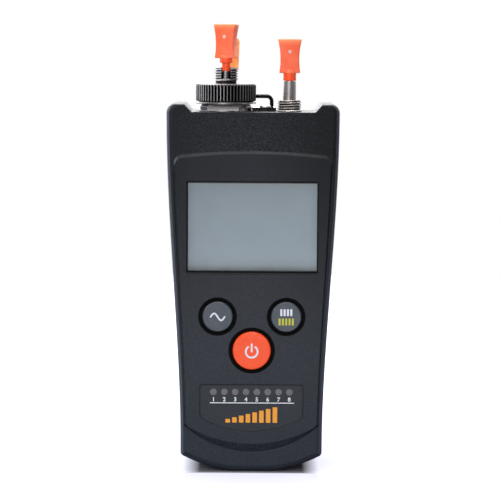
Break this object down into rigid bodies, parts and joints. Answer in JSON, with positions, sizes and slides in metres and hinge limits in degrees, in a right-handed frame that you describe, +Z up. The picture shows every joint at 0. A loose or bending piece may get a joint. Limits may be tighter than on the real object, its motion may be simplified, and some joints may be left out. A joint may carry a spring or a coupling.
{
  "type": "optical power meter",
  "caption": "Hand-held optical power meter with a flared case, display, round keys, indicator lamps, a screw-on fibre adapter, a light source port, dust caps and a cable test jack.",
  "frame": {"origin": "middle of the flat at the bottom edge that the meter stands on, in the plane of the case seam", "axes": "+Z up towards the ports, the display faces -Y, +X to the right as the display is read"},
  "size_m": [0.057, 0.0284, 0.1486],
  "materials": {
    "case_plastic": "fine moulded grain, charcoal",
    "display": "clear cover over a grey reflective display",
    "key_grey": "satin, slate grey with printed signs",
    "key_orange": "satin orange with a printed sign",
    "label_film": "printed film with the digits 1 to 8",
    "lamp": "smoked clear plastic, unlit",
    "nickel": "bright nickel plating",
    "dark_nickel": "bright dark nickel plating over knurled brass",
    "ferrule_metal": "fine turned steel",
    "cap_orange": "soft orange plastic, slightly translucent",
    "black_plastic": "glossy black plastic",
    "black_steel": "glossy black coated steel",
    "screw_steel": "zinc plated steel",
    "board": "green solder resist",
    "cell_sleeve": "plain printed sleeve",
    "contact_metal": "nickel and gold plated springs",
    "inner_plastic": "white moulded plastic"
  },
  "bodies": {
    "case": {"front_shell": "case_plastic", "rear_shell": "case_plastic", "case_screws": "screw_steel", "battery_contacts": "contact_metal", "circuit_board": "board", "board_screws": "screw_steel", "lcd_glass": "display", "lcd_frame": "inner_plastic", "indicator_lamps": "lamp", "indicator_label": "label_film", "detector_washer": "nickel", "detector_base": "nickel", "detector_nut": "nickel", "photodiode": "nickel", "vfl_bushing": "nickel", "vfl_nut": "nickel", "vfl_tube": "ferrule_metal", "laser_module": "nickel", "anchor_plate": "black_plastic", "anchor_screw": "screw_steel", "wire_loop": "black_steel", "cable_test_jack": "black_plastic", "jack_contacts": "contact_metal", "battery_cell_1": "cell_sleeve", "battery_cell_2": "cell_sleeve", "battery_cell_3": "cell_sleeve", "left_switch": "black_plastic", "right_switch": "black_plastic", "centre_switch": "black_plastic"},
    "door": {"battery_door": "case_plastic"},
    "left_button": {"left_key": "key_grey", "left_plunger": "inner_plastic"},
    "right_button": {"right_key": "key_grey", "right_plunger": "inner_plastic"},
    "centre_button": {"centre_key": "key_orange", "centre_plunger": "inner_plastic"},
    "slip_ring": {"adapter_slip_ring": "nickel"},
    "adapter": {"fc_adapter": "dark_nickel", "ferrule_sleeve": "nickel"},
    "left_cap": {"left_dust_cap": "cap_orange"},
    "right_cap": {"right_dust_cap": "cap_orange"}
  },
  "joints": [
    {"name": "battery_door_hinge", "type": "hinge", "parent": "case", "child": "door", "pos_m": [0, 0.0121, 0.0128], "axis": [-1, 0, 0], "range_deg": [0, 80]},
    {"name": "left_key_press", "type": "slide", "parent": "case", "child": "left_button", "axis": [0, 1, 0], "range_m": [0, 0.0005], "stiffness_N_per_m": 600},
    {"name": "right_key_press", "type": "slide", "parent": "case", "child": "right_button", "axis": [0, 1, 0], "range_m": [0, 0.0005], "stiffness_N_per_m": 600},
    {"name": "centre_key_press", "type": "slide", "parent": "case", "child": "centre_button", "axis": [0, 1, 0], "range_m": [0, 0.0005], "stiffness_N_per_m": 600},
    {"name": "adapter_lift", "type": "slide", "parent": "case", "child": "slip_ring", "axis": [0, 0, 1], "range_m": [0, 0.0023]},
    {"name": "adapter_turn", "type": "hinge", "parent": "slip_ring", "child": "adapter", "pos_m": [-0.0091, 0, 0.12285], "axis": [0, 0, 1], "range_deg": [0, 1080]},
    {"name": "left_cap_pull", "type": "slide", "parent": "adapter", "child": "left_cap", "axis": [0, 0, 1], "range_m": [0, 0.02]},
    {"name": "right_cap_pull", "type": "slide", "parent": "case", "child": "right_cap", "axis": [0, 0, 1], "range_m": [0, 0.02]}
  ],
  "couplings": [
    {"joint": "adapter_lift", "follows": "adapter_turn", "m_per_rad": 0.00011937}
  ]
}
